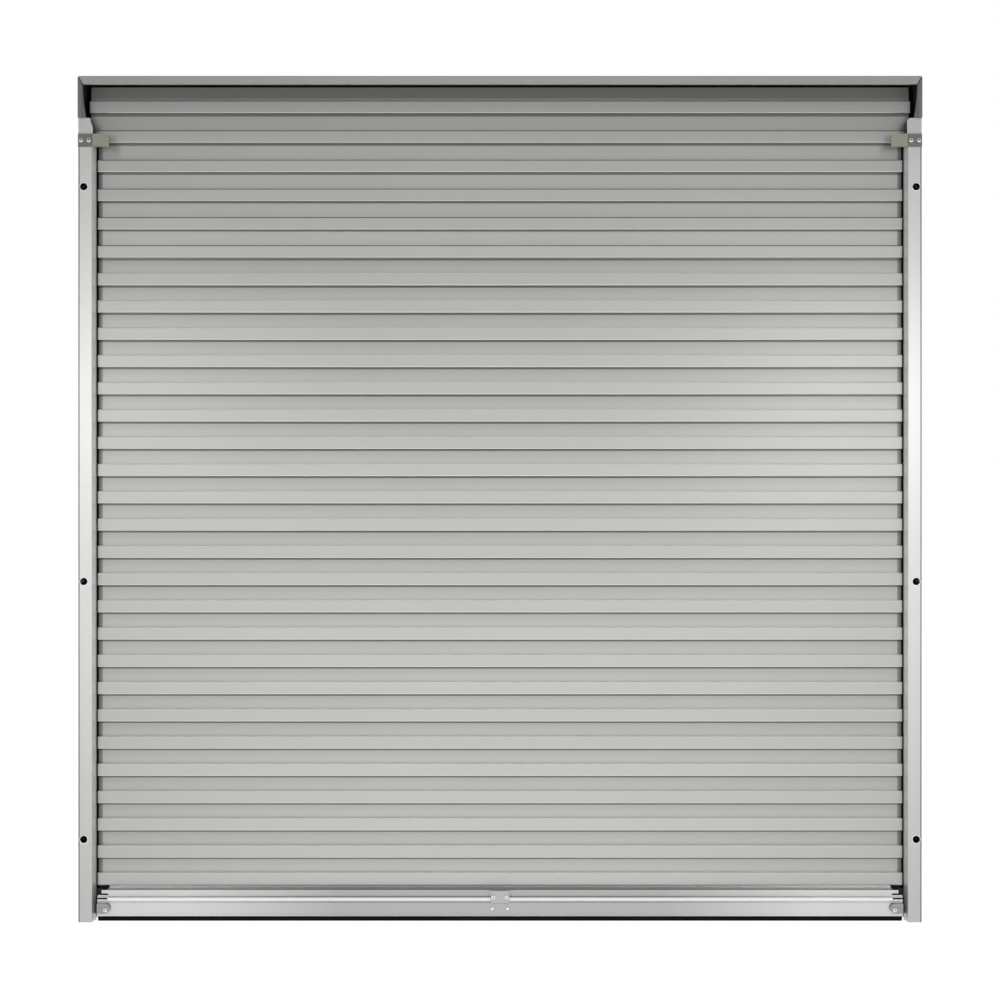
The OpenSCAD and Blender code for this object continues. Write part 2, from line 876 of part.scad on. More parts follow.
// rubber strip hung in the bottom rail's slot, with a hollow bulb below
module bottom_seal() {
    neck = slot_neck - 2 * rubber_play;
    head = slot_head - 2 * rubber_play;
    bulb = slat_u - bar_u - 2 * rubber_play;
    bulb_r = min(bulb / 4, seal_h / 2);
    color(black)
        along_x(nose_l - 2 * seal_stop)
            translate([slot_u, bar_z])
                difference() {
                    union() {
                        box_2d(-neck / 2, -cut, neck / 2, slot_lip + rubber_play + cut);
                        box_2d(-head / 2, slot_lip + rubber_play, head / 2,
                            slot_lip + slot_head_h - rubber_play);
                        box_2d(-bulb / 2, -seal_h + bulb_r, bulb / 2, 0);
                        box_2d(-bulb / 2 + bulb_r, -seal_h, bulb / 2 - bulb_r, 0);
                        for (v = [-1, 1])
                            translate([v * (bulb / 2 - bulb_r), -seal_h + bulb_r])
                                circle(r = bulb_r);
                    }
                    translate([0, -seal_h / 2])
                        circle(r = min(seal_h, bulb) / 4);
                }
}

// block at each end of the bottom rail, round on its inner end, that meets the stop bracket
module stop_block(side) {
    outer = rail_w + block_gap;
    round_r = block_h / 2;
    color(bare)
        difference() {
            back_from(block_u, block_t, side) {
                box_2d(outer, block_z, outer + block_w - round_r, block_top);
                translate([outer + block_w - round_r, block_z + round_r])
                    circle(r = round_r);
            }
            pin_y(side * block_screw_x, block_screw_z, block_u - cut, block_t + 2 * cut,
                shank_r + fit_play);
        }
}

module block_screws() {
    color(steel)
        for (side = [-1, 1]) {
            x = side * block_screw_x;
            pin_y(x, block_screw_z, block_u - head_h / 2, head_h / 2, head_r);
            pin_y(x, block_screw_z, block_u - head_h / 4, block_t + bar_screw_l, shank_r);
        }
}

module centre_plate() {
    u = bar_u - rib_proud;
    color(bare)
        difference() {
            translate([-plate_w / 2, face_y + u - sheet_t, centre_plate_z])
                cube([plate_w, sheet_t, plate_h]);
            for (place = centre_screws)
                pin_y(place[0], place[1], u - 2 * sheet_t, 3 * sheet_t, shank_r + fit_play);
        }
}

// two screws through the plate and two rivets below it
module centre_fasteners() {
    plate_u = bar_u - rib_proud - sheet_t;
    color(steel) {
        for (place = centre_screws)
            pan_screw(place[0], place[1], plate_u);
        for (place = centre_rivets) {
            pin_y(place[0], place[1], bar_u - rivet_h, rivet_h, rivet_r);
            pin_y(place[0], place[1], bar_u - rivet_h / 2, rivet_h / 2 + bar_screw_l, rivet_shank_r);
        }
    }
}

top_slat();
for (n = [2:slat_count])
    slat(n);
rail(-1);  // rail_left
rail(1);  // rail_right
rail_seals();
inlet_left();
inlet_right();
stop_bracket(-1);  // stop_bracket_left
stop_bracket(1);  // stop_bracket_right
frame_screws();
side_plate(-1);  // side_plate_left
side_plate(1);  // side_plate_right
side_lip(-1);  // side_lip_left
side_lip(1);  // side_lip_right
header();
back_cover();
axle();
drum_bearings();
drum_tube();
drum_disc(-1);  // drum_disc_left
drum_disc(1);  // drum_disc_right
torsion_spring();
spring_anchor();
spring_plug();
hanger_straps();
bottom_rail();
bottom_seal();
stop_block(-1);  // stop_block_left
stop_block(1);  // stop_block_right
block_screws();
centre_plate();
centre_fasteners();
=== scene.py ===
"""Dress the roller shutter's CAD nodes: finishes, fixings, hole rims and a plain studio."""
import json
from math import pi, radians

import bmesh
import bpy
from bpy.props import FloatProperty, FloatVectorProperty, PointerProperty
from mathutils import Matrix, Vector


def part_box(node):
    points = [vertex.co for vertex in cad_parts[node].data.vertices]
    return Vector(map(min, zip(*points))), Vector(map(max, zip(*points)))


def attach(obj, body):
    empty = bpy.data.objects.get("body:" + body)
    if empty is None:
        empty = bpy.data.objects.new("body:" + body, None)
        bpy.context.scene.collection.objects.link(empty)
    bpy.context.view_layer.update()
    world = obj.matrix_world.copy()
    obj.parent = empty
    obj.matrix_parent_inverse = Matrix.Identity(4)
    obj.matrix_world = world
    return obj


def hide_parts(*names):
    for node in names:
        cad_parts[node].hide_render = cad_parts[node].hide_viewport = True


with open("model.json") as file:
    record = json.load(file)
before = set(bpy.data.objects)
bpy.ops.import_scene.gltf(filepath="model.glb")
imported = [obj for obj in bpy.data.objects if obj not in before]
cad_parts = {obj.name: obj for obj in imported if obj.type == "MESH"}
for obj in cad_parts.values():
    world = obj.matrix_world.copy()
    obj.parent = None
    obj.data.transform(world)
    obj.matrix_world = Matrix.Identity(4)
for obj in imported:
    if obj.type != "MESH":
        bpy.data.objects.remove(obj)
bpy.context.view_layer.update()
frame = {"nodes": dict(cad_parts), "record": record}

bl_info = {
    "name": "Roller shutter",
    "version": (1, 0, 0),
    "blender": (4, 5, 0),
    "location": "View3D > Sidebar > Shutter",
    "description": "Finishes, fixings and studio of an aluminium roller shutter",
    "category": "Object",
}

MM = 0.001
SLATS = sorted(name for name in frame["nodes"] if name.startswith("slat_"))
SIDES = ("left", "right")
# ways along Y: out of the slatted side, and out of the headbox's side
FRONT, BACK = -1, 1
# least part of a normal along an axis on a face that counts as square to it
SQUARE = 0.9
# bevel of a shank's blunt tip, as a share of its radius
TIP = 0.3


def linear(hex_colour):
    """Turn an sRGB hex value into the linear colour that a shader takes."""
    parts = [int(hex_colour[i:i + 2], 16) / 255 for i in (1, 3, 5)]
    return [c / 12.92 if c <= 0.04045 else ((c + 0.055) / 1.055) ** 2.4 for c in parts]


def tint(name, description, hex_colour):
    """A colour that a user can change."""
    return FloatVectorProperty(name=name, description=description, subtype="COLOR", size=3,
                               min=0, max=1, default=linear(hex_colour))


def length(name, description, metres):
    """A length that a user can change."""
    return FloatProperty(name=name, description=description, unit="LENGTH", min=0, default=metres)


def share(name, description, value):
    """A value from 0 to 1 that a user can change."""
    return FloatProperty(name=name, description=description, subtype="FACTOR", min=0, max=1,
                         default=value)


class ShutterFinish(bpy.types.PropertyGroup):
    """Colours and gloss of the shutter's materials."""

    slat: tint("Slats", "Satin anodised aluminium of the slats", "#aeafac")
    slat_rough: share("Slat roughness", "How soft the slats' sheen is", 0.34)
    slat_metal: share("Slat metal", "How much of the slats' light is mirrored, not scattered", 0.5)
    rail: tint("Rails", "Satin anodised aluminium of the rails", "#c8c9c7")
    sheet: tint("Headbox", "Satin anodised sheet of the headbox", "#aaaba7")
    inlet: tint("Inlets", "Satin anodised inlets on the rails", "#c4c5c3")
    rail_rough: share("Rail roughness", "How soft the rails' sheen is", 0.31)
    rail_metal: share("Rail metal", "How much of the rails' light is mirrored, not scattered", 0.5)
    # the side lips' grey is the anodising darkened by painted shade
    lip: tint("Side lips", "Duller anodising of the side lips", "#797a75")
    # bright colour of painted highlights on the ribs' edges, the header's brim and the rails'
    # cheeks, also used on the bottom rail's rib and the cut hole rims
    rubbed: tint("Rubbed metal", "Edges and ribs that rubbing keeps bright", "#e6e7e5")
    # pale dust together with painted light, on the slats' ledges and in the bottom rail's groove
    dust: tint("Dust", "Pale dust on the slats' ledges", "#dcdbd5")
    # dark colour of painted shade: in joints, recesses, throats, slots and under the ribs
    grime: tint("Grime", "Dust and rubber that the strips leave behind", "#151514")
    # shares of painted shade: on the flats, beside the joints, at the rails' feet and in the bottom
    # rail's middle
    film: share("Film", "Most of the grime that lies on the flats", 0.18)
    joint: share("Joint grime", "Most of the grime beside the joints", 0.5)
    splash: share("Splashes", "Most of the dirt on the rails' feet", 0.25)
    handled: share("Handled middle", "Most of the dirt on the bottom rail's middle", 0.36)
    bare: tint("Bare aluminium", "Mill finish of the bottom rail", "#d2d3d3")
    bare_rough: share("Bare roughness", "How soft the bottom rail's sheen is", 0.26)
    bar_tone: share("Bottom rail tone", "Bottom rail's tone as a share of bare aluminium", 0.84)
    plate_tone: share("Plate tone", "Centre plate's tone as a share of bare aluminium", 0.56)
    cast: tint("Cast zinc", "Die-cast zinc of the stop blocks", "#a0a1a3")
    zinc: tint("Zinc", "Galvanised plate of the stop brackets", "#b0afa1")
    fixing: tint("Fixings", "Bright zinc of screws and rivets", "#dfe0e0")
    steel: tint("Steel", "Drawn steel of drum, axle and straps", "#9da0a4")
    plastic: tint("Plastic", "Moulded black plastic of plates and discs", "#131415")
    rubber: tint("Rubber", "Extruded black rubber of the seals", "#0a0a0a")


class ShutterFixings(bpy.types.PropertyGroup):
    """Sizes and places of screws, rivets and hole rims."""

    head_r: length("Head radius", "Radius of the pan heads", 3.2 * MM)
    head_h: length("Head height", "Height of the pan heads", 1.8 * MM)
    shank_r: length("Shank radius", "Radius of the screw shanks", 1.9 * MM)
    shank_l: length("Shank length", "Length of the screw shanks", 8 * MM)
    recess_l: length("Recess length", "Span of the cross recess", 3.4 * MM)
    recess_w: length("Recess width", "Width of one slot of the cross recess", 0.9 * MM)
    recess_d: length("Recess depth", "Depth of the cross recess", 1 * MM)
    bracket_out: length("Outer bracket screws", "From a bracket's outer end to its outer screw",
                        4.4 * MM)
    bracket_in: length("Inner bracket screws", "From a bracket's outer end to its inner screw",
                       15.4 * MM)
    plate_x: length("Plate screws", "From the middle of the shutter to a screw of the centre plate",
                    9.4 * MM)
    flush_r: length("Flush head radius", "Radius of the countersunk heads", 3.2 * MM)
    flush_h: length("Flush head height", "Depth of the countersunk heads", 1.5 * MM)
    flush_shank_r: length("Flush shank radius", "Radius under the countersunk heads", 1.5 * MM)
    flush_l: length("Flush length", "Length of the countersunk screws", 12 * MM)
    cover_drop: length("Cover screw drop", "From the cover's top screws to its upper side screws",
                       22.5 * MM)
    rivet_r: length("Rivet radius", "Radius of the rivet domes", 2.6 * MM)
    rivet_h: length("Rivet height", "Height of the rivet domes", 1.3 * MM)
    rivet_shank_r: length("Rivet shank", "Radius of the rivet shanks", 1.5 * MM)
    rivet_l: length("Rivet length", "Length of the rivet shanks", 2.8 * MM)
    rib_proud: length("Rib", "How far the bottom rail's rib stands in front of its flat", 2 * MM)
    hole_r: length("Hole radius", "Radius of the rails' access holes", 5.25 * MM)
    rim_w: length("Rim width", "Width of the deburred rim round each hole", 1 * MM)
    rim_h: length("Rim height", "How far the rim stands on the rail", 0.25 * MM)


class ShutterStage(bpy.types.PropertyGroup):
    """Camera, floor and light."""

    distance: length("Camera distance", "From the rail faces to the camera", 2.4)
    height: length("Camera height", "Height of the camera over the sill", 0.6009)
    view_w: length("View width", "Width that the picture shows at the rail faces", 1.4226)
    floor_size: length("Floor size", "Side of the floor", 30)
    floor: tint("Floor", "Plain pale floor", "#959593")
    glow: share("Floor glow", "Light that the floor itself gives off", 0.88)
    key: FloatProperty(name="Key power", description="Power of each of the two key lights",
                       unit="POWER", min=0, default=900)
    overhead: FloatProperty(name="Overhead light", description="Strength of the light from above",
                            min=0, default=0.9)
    box_power: FloatProperty(name="Softbox power", unit="POWER", min=0, default=7.6,
                             description="Power of a softbox per metre of its width")


def add(tree, kind, values=None, links=None, **settings):
    """Add a node: settings are its own, values go to its sockets and links come into them."""
    node = tree.nodes.new(kind)
    for key, value in settings.items():
        setattr(node, key, value)
    for key, value in (values or {}).items():
        node.inputs[key].default_value = value
    for key, socket in (links or {}).items():
        tree.links.new(socket, node.inputs[key])
    return node


def start_material(name):
    """A new material with its shader, and the coordinates of the piece that it is on."""
    material = bpy.data.materials.new(name)
    material.use_nodes = True
    tree = material.node_tree
    tree.nodes.clear()
    shader = add(tree, "ShaderNodeBsdfPrincipled")
    add(tree, "ShaderNodeOutputMaterial", links={"Surface": shader.outputs["BSDF"]})
    coords = add(tree, "ShaderNodeTexCoord").outputs
    return material, tree, shader, coords


def drawn_metal(name, colour, rough, along, line_mm, run_mm, depth_mm, cloud=0.05, metallic=1.0,
                streak=1.0):
    """Metal drawn through a die: lines along one axis, and a faint cloudiness of the finish."""
    # real die lines lie about 0.1 mm apart: they are drawn line_mm apart, so that they show
    cloud_mm, tone_swing, gloss_swing = 160, 0.3 * streak, 0.05 * streak
    material, tree, shader, coords = start_material(name)
    scale = [1 / (line_mm * MM)] * 3
    scale["XYZ".index(along)] = 1 / (run_mm * MM)
    mapped = add(tree, "ShaderNodeMapping", {"Scale": scale}, {"Vector": coords["Object"]})
    lines = add(tree, "ShaderNodeTexNoise", {"Scale": 1, "Detail": 3, "Roughness": 0.6},
                {"Vector": mapped.outputs["Vector"]}).outputs["Fac"]
    clouds = add(tree, "ShaderNodeTexNoise", {"Scale": 1 / (cloud_mm * MM), "Detail": 2},
                 {"Vector": coords["Object"]}).outputs["Fac"]
    swing = add(tree, "ShaderNodeMapRange", {"To Min": -tone_swing, "To Max": tone_swing},
                {"Value": lines})
    tone = add(tree, "ShaderNodeMath", links={0: clouds, 1: swing.outputs["Result"]},
               operation="ADD", use_clamp=True)
    dark = [c * (1 - cloud) for c in colour]
    mixed = add(tree, "ShaderNodeMix", {"A": (*dark, 1), "B": (*colour, 1)},
                {"Factor": tone.outputs["Value"]}, data_type="RGBA")
    gloss = add(tree, "ShaderNodeMapRange",
                {"To Min": rough - gloss_swing, "To Max": rough + gloss_swing}, {"Value": lines})
    bump = add(tree, "ShaderNodeBump", {"Strength": 1, "Distance": depth_mm * MM},
               {"Height": lines})
    tree.links.new(mixed.outputs["Result"], shader.inputs["Base Color"])
    tree.links.new(gloss.outputs["Result"], shader.inputs["Roughness"])
    tree.links.new(bump.outputs["Normal"], shader.inputs["Normal"])
    shader.inputs["Metallic"].default_value = metallic
    return material


def stain(material, mask, colour, most=1.0):
    """Lay a colour over a finish where a mask is 1, and no thicker than a share of it."""
    tree = material.node_tree
    base = tree.nodes["Principled BSDF"].inputs["Base Color"]
    amount = add(tree, "ShaderNodeMath", {1: most}, {0: mask}, operation="MULTIPLY")
    mixed = add(tree, "ShaderNodeMix", {"B": (*colour, 1)},
                {"A": base.links[0].from_socket, "Factor": amount.outputs["Value"]},
                data_type="RGBA")
    tree.links.new(mixed.outputs["Result"], base)


def dress(material, *nodes):
    """Give CAD nodes a better material in their own slots."""
    for name in nodes:
        for slot in frame["nodes"][name].material_slots:
            slot.material = material


class SHUTTER_OT_slats(bpy.types.Operator):
    """Finish the slats"""

    bl_idname = "shutter.slats"
    bl_label = "Slats"

    # how far the normals of a rib's round edges tilt up or down, and the span on either side
    edge_tilt, edge_span = 0.55, 0.35
    # where painted shade starts and where it is full, as shares of the pitch over a slat's foot
    joint_line, flat_film = (0.92, 0.94), (0.5, 0.9)
    open_joint, dull_film = (0.98, 1), (-0.3, 1.2)
    # most of the painted shade of the header's shadow on each slat that hangs apart, from the top
    dull = (0.4, 0.15, 0, 0, 0, 0)
    # how many of these don't reach the rails
    short_of_rails = 2
    # how far the flats lie behind the faces of the ribs, at the least
    flat_depth = 3 * MM
    # distances from a rail at which the rail's painted shadow and the slot's painted shade start
    # and are full
    grey_strip, black_end = (8 * MM, 6.4 * MM), (2.6 * MM, 1.4 * MM)

    def anodised(self, name, look, foot, step, pitch, edges, films):
        # satin anodised extrusion: a soft sheen with faint lines along the slat, and a slightly
        # other tone from slat to slat
        metal = drawn_metal(name, look.slat, look.slat_rough, "X", line_mm=3, run_mm=500,
                            depth_mm=0.001, metallic=look.slat_metal, streak=0.25)
        tree = metal.node_tree
        coords = tree.nodes["Texture Coordinate"].outputs
        chance = add(tree, "ShaderNodeObjectInfo").outputs["Random"]
        stain(metal, chance, [0.5 * c for c in look.slat], most=0.1)
        # the ribs' round edges take the painted highlights and painted shade that edges gives
        normal = add(tree, "ShaderNodeSeparateXYZ", links={"Vector": coords["Normal"]}).outputs
        for tilt, colour, most in edges:
            edge = add(tree, "ShaderNodeMath", {1: tilt, 2: self.edge_span}, {0: normal["Z"]},
                       operation="COMPARE")
            stain(metal, edge.outputs["Value"], colour, most)
        # pale dust and painted light lie on the ledges' tops, and painted shade lies under each rib
        # and, in the bands below, on the flat below it
        ledge = add(tree, "ShaderNodeMath", {1: SQUARE}, {0: normal["Z"]},
                    operation="GREATER_THAN")
        stain(metal, ledge.outputs["Value"], look.dust)
        under = add(tree, "ShaderNodeMath", {1: -SQUARE}, {0: normal["Z"]}, operation="LESS_THAN")
        stain(metal, under.outputs["Value"], look.grime)
        # all slats of one finish share it by height over their own feet
        place = add(tree, "ShaderNodeSeparateXYZ", links={"Vector": coords["Object"]}).outputs
        height = add(tree, "ShaderNodeMath", {1: foot + step, 2: foot}, {0: place["Z"]},
                     operation="WRAP")
        # painted shade in bands over each slat's foot
        for (start, full), most in films:
            film = add(tree, "ShaderNodeMapRange",
                       {"From Min": foot + start * pitch, "From Max": foot + full * pitch},
                       {"Value": height.outputs["Value"]})
            stain(metal, film.outputs["Result"], look.grime, most)
        return metal

    def rub_ends(self, metal, look):
        # a painted shadow of the rails greys the ends of the flats, and painted shade blackens what
        # runs in the rails
        tree = metal.node_tree
        coords = tree.nodes["Texture Coordinate"].outputs
        place = add(tree, "ShaderNodeSeparateXYZ", links={"Vector": coords["Object"]}).outputs
        side = add(tree, "ShaderNodeMath", links={0: place["X"]}, operation="ABSOLUTE")
        rail_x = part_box("rail_right")[0].x
        flat_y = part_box(SLATS[-1])[0].y + self.flat_depth
        flat = add(tree, "ShaderNodeMath", {1: flat_y}, {0: place["Y"]}, operation="GREATER_THAN")
        grey, black = [
            add(tree, "ShaderNodeMapRange", {"From Min": rail_x - start, "From Max": rail_x - full},
                {"Value": side.outputs["Value"]}).outputs["Result"]
            for start, full in (self.grey_strip, self.black_end)]
        strip = add(tree, "ShaderNodeMath", links={0: flat.outputs["Value"], 1: grey},
                    operation="MULTIPLY")
        stain(metal, strip.outputs["Value"], look.grime, most=0.5)
        stain(metal, black, look.grime)

    def execute(self, context):
        look = context.scene.shutter_finish
        feet = [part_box(name)[0].z for name in SLATS]
        pitch = feet[-2] - feet[-1]
        # the top slats hang apart, each by its own gap, with painted shade on their upper edges and
        # a faint painted highlight on their lower ones; the first, which don't reach the rails,
        # also carry the header's shadow as painted shade
        edges = ((self.edge_tilt, look.grime, 1), (-self.edge_tilt, look.rubbed, 0.2))
        for row, dull in enumerate(self.dull):
            step = feet[row - 1] - feet[row] if row else 2 * pitch
            films = ((self.open_joint, look.joint), (self.dull_film, dull))
            metal = self.anodised("anodised_" + SLATS[row], look, feet[row], step, pitch, edges,
                                  films)
            if row >= self.short_of_rails:
                self.rub_ends(metal, look)
            dress(metal, SLATS[row])
        # the slats below are closed up, with painted highlights on both round edges
        edges = ((self.edge_tilt, look.rubbed, 0.5), (-self.edge_tilt, look.rubbed, 0.5))
        films = ((self.joint_line, look.joint), (self.flat_film, look.film))
        metal = self.anodised("anodised_slat", look, feet[-1], pitch, pitch, edges, films)
        self.rub_ends(metal, look)
        dress(metal, *SLATS[len(self.dull):])
        return {"FINISHED"}


class SHUTTER_OT_rails(bpy.types.Operator):
    """Finish the rails, their inlets and the headbox"""

    bl_idname = "shutter.rails"
    bl_label = "Rails and headbox"

    # half a wall of a rail, past which its inside begins, and half its chamber's width
    half_wall, half_chamber = 0.9 * MM, 9 * MM
    # width of the cheek beside the slats' ends
    cheek_w = 2.05 * MM
    # shares of a rail's height at which the painted shade at the foot starts and is full
    splashed = (0.36, 0.03)
    # distances from a rail's outer face at which the painted shade on its edge starts and is full
    edge_film = (2.2 * MM, 1.6 * MM)
    # what a place's X times its normal's X stays below on a face that looks to the middle
    inward = -0.15
    # height of the rubbed brim along the header's lower edge
    brim_h = 1.5 * MM

    def finish_rails(self, look):
        # satin anodised extrusion: as the slats, but clearer, and dark with painted shade inside
        metal = drawn_metal("anodised_rail", look.rail, look.rail_rough, "Z", line_mm=3,
                            run_mm=400, depth_mm=0.0005, metallic=look.rail_metal, streak=0.12)
        tree = metal.node_tree
        coords = tree.nodes["Texture Coordinate"].outputs
        place = add(tree, "ShaderNodeSeparateXYZ", links={"Vector": coords["Object"]}).outputs
        side = add(tree, "ShaderNodeMath", links={0: place["X"]},
                   operation="ABSOLUTE").outputs["Value"]
        low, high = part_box("rail_right")
        # painted shade darkens the inside of each rail
        across = add(tree, "ShaderNodeMath",
                     {1: high.x - self.half_chamber, 2: self.half_chamber - self.half_wall},
                     {0: side}, operation="COMPARE")
        deep = add(tree, "ShaderNodeMath",
                   {1: (low.y + high.y) / 2, 2: (high.y - low.y) / 2 - self.half_wall},
                   {0: place["Y"]}, operation="COMPARE")
        inside = add(tree, "ShaderNodeMath", operation="MULTIPLY",
                     links={0: across.outputs["Value"], 1: deep.outputs["Value"]})
        stain(metal, inside.outputs["Value"], look.grime)
        # painted light brightens the cheeks beside the slats' ends, and painted shade darkens the
        # rails towards their feet
        cheek = add(tree, "ShaderNodeMath", {1: low.x + self.cheek_w}, {0: side},
                    operation="LESS_THAN")
        stain(metal, cheek.outputs["Value"], look.rubbed)
        start, full = self.splashed
        dirt = add(tree, "ShaderNodeMapRange",
                   {"From Min": start * high.z, "From Max": full * high.z}, {"Value": place["Z"]})
        stain(metal, dirt.outputs["Result"], look.grime, look.splash)
        # painted shade on the outer edge, where rail and wall meet
        start, full = self.edge_film
        edge = add(tree, "ShaderNodeMapRange",
                   {"From Min": high.x - start, "From Max": high.x - full}, {"Value": side})
        stain(metal, edge.outputs["Result"], look.grime, most=0.75)
        dress(metal, "rail_left", "rail_right")

    def finish_inlets(self, look):
        # satin anodised casting: the rails' grey and sheen, a little more streaked, with painted
        # shade in the throats that face the slats
        metal = drawn_metal("anodised_inlet", look.inlet, look.rail_rough, "Z", line_mm=3,
                            run_mm=400, depth_mm=0.001, metallic=look.slat_metal, streak=0.25)
        tree = metal.node_tree
        coords = tree.nodes["Texture Coordinate"].outputs
        place = add(tree, "ShaderNodeSeparateXYZ", links={"Vector": coords["Object"]}).outputs
        normal = add(tree, "ShaderNodeSeparateXYZ", links={"Vector": coords["Normal"]}).outputs
        # painted shade on the faces that look to the middle
        facing = add(tree, "ShaderNodeMath", links={0: place["X"], 1: normal["X"]},
                     operation="MULTIPLY")
        throat = add(tree, "ShaderNodeMath", {1: self.inward}, {0: facing.outputs["Value"]},
                     operation="LESS_THAN")
        stain(metal, throat.outputs["Value"], look.grime)
        dress(metal, "inlet_left", "inlet_right")

    def finish_headbox(self, look):
        # satin anodised sheet: darker than the rails as painted shade, and duller
        metal = drawn_metal("anodised_lip", look.lip, look.slat_rough, "Z", line_mm=3, run_mm=400,
                            depth_mm=0.001, metallic=look.slat_metal, streak=0.25)
        dress(metal, "side_lip_left", "side_lip_right")
        # satin anodised sheet: an even grey with a clear sheen along the shutter
        header, cover = [
            drawn_metal(name, look.sheet, look.rail_rough, "X", line_mm=3, run_mm=400,
                        depth_mm=0.0005, metallic=look.slat_metal, streak=0.12)
            for name in ("anodised_sheet", "anodised_cover")]
        dress(cover, "back_cover")
        # a painted highlight brightens the header's lower brim
        tree = header.node_tree
        coords = tree.nodes["Texture Coordinate"].outputs
        place = add(tree, "ShaderNodeSeparateXYZ", links={"Vector": coords["Object"]}).outputs
        brim = add(tree, "ShaderNodeMath", {1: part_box("header")[0].z + self.brim_h},
                   {0: place["Z"]}, operation="LESS_THAN")
        stain(header, brim.outputs["Value"], look.rubbed, most=0.5)
        dress(header, "header")

    def execute(self, context):
        look = context.scene.shutter_finish
        self.finish_rails(look)
        self.finish_inlets(look)
        self.finish_headbox(look)
        return {"FINISHED"}


class SHUTTER_OT_bottom_rail(bpy.types.Operator):
    """Finish the bottom rail, its blocks and its plate"""

    bl_idname = "shutter.bottom_rail"
    bl_label = "Bottom rail"

    # distances from the middle at which the painted shade starts and is full
    handled_x = (0.45, 0.23)
    # depths behind the rib's face: the rib ends before the first, groove and slots lie past the
    # second
    rib_d, groove_d = MM, 5 * MM
    # what a normal's Y stays below on a face that looks to the front
    ahead = -0.5
    # how far the end slots reach in from the guide rails
    slot_reach = 17 * MM

    def mill_finish(self, name, look, tone):
        # mill aluminium: a plain grey sheen with fine lines from the die
        return drawn_metal(name, [tone * c for c in look.bare], look.bare_rough, "X", line_mm=2,
                           run_mm=300, depth_mm=0.003, metallic=0.6, streak=0.5)

    def execute(self, context):
        look = context.scene.shutter_finish
        dress(self.mill_finish("mill_aluminium", look, look.plate_tone), "centre_plate")
        # die-cast zinc: a duller, darker grey than the rail, mottled and without drawn lines
        blocks = drawn_metal("cast_zinc", look.cast, rough=0.42, along="X", line_mm=6, run_mm=8,
                             depth_mm=0.02, cloud=0.2)
        dress(blocks, "stop_block_left", "stop_block_right")
        # mill aluminium with painted shade darkening its middle against the ends, the proud rib
        # made lighter, pale dust and painted light in the groove, and painted shade in the end
        # slots
        bar = self.mill_finish("rubbed_aluminium", look, look.bar_tone)
        tree = bar.node_tree
        coords = tree.nodes["Texture Coordinate"].outputs
        place = add(tree, "ShaderNodeSeparateXYZ", links={"Vector": coords["Object"]}).outputs
        normal = add(tree, "ShaderNodeSeparateXYZ", links={"Vector": coords["Normal"]}).outputs
        side = add(tree, "ShaderNodeMath", links={0: place["X"]}, operation="ABSOLUTE")
        start, full = self.handled_x
        middle = add(tree, "ShaderNodeMapRange", {"From Min": start, "From Max": full},
                     {"Value": side.outputs["Value"]})
        stain(bar, middle.outputs["Result"], look.grime, look.handled)
        rib_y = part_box("bottom_rail")[0].y
        rib = add(tree, "ShaderNodeMath", {1: rib_y + self.rib_d}, {0: place["Y"]},
                  operation="LESS_THAN")
        stain(bar, rib.outputs["Value"], look.rubbed, most=0.6)
        deep = add(tree, "ShaderNodeMath", {1: rib_y + self.groove_d}, {0: place["Y"]},
                   operation="GREATER_THAN")
        ahead = add(tree, "ShaderNodeMath", {1: self.ahead}, {0: normal["Y"]},
                    operation="LESS_THAN")
        groove = add(tree, "ShaderNodeMath", operation="MULTIPLY",
                     links={0: ahead.outputs["Value"], 1: deep.outputs["Value"]})
        stain(bar, groove.outputs["Value"], look.dust)
        outer = add(tree, "ShaderNodeMath", {1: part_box("rail_right")[0].x - self.slot_reach},
                    {0: side.outputs["Value"]}, operation="GREATER_THAN")
        slot = add(tree, "ShaderNodeMath", operation="MULTIPLY",
                   links={0: outer.outputs["Value"], 1: deep.outputs["Value"]})
        stain(bar, slot.outputs["Value"], look.grime)
        dress(bar, "bottom_rail")
        return {"FINISHED"}


class SHUTTER_OT_brackets(bpy.types.Operator):
    """Finish the stop brackets"""

    bl_idname = "shutter.brackets"
    bl_label = "Stop brackets"

    def execute(self, context):
        look = context.scene.shutter_finish
        # galvanised plate: flat grey crystals a few millimetres wide, each with its own sheen
        crystal_mm, darkest = 4, 0.88
        zinc, tree, shader, coords = start_material("galvanised_plate")
        crystals = add(tree, "ShaderNodeTexVoronoi", {"Scale": 1 / (crystal_mm * MM)},
                       {"Vector": coords["Object"]}).outputs["Color"]
        sheen = add(tree, "ShaderNodeMapRange", {"To Min": 0.36, "To Max": 0.52},
                    {"Value": crystals})
        dark = [c * darkest for c in look.zinc]
        mixed = add(tree, "ShaderNodeMix", {"A": (*dark, 1), "B": (*look.zinc, 1)},
                    {"Factor": crystals}, data_type="RGBA")
        tree.links.new(mixed.outputs["Result"], shader.inputs["Base Color"])
        tree.links.new(sheen.outputs["Result"], shader.inputs["Roughness"])
        shader.inputs["Metallic"].default_value = 1
        # the end on the rail, round the screws, is scratched down to a darker grey
        place = add(tree, "ShaderNodeSeparateXYZ", links={"Vector": coords["Object"]}).outputs
        side = add(tree, "ShaderNodeMath", links={0: place["X"]}, operation="ABSOLUTE")
        rail_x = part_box("rail_right")[0].x
        worn = add(tree, "ShaderNodeMapRange", {"From Min": rail_x, "From Max": rail_x + MM},
                   {"Value": side.outputs["Value"]})
        stain(zinc, worn.outputs["Result"], [0.4 * c for c in look.steel], most=0.6)
        dress(zinc, "stop_bracket_left", "stop_bracket_right")
        return {"FINISHED"}


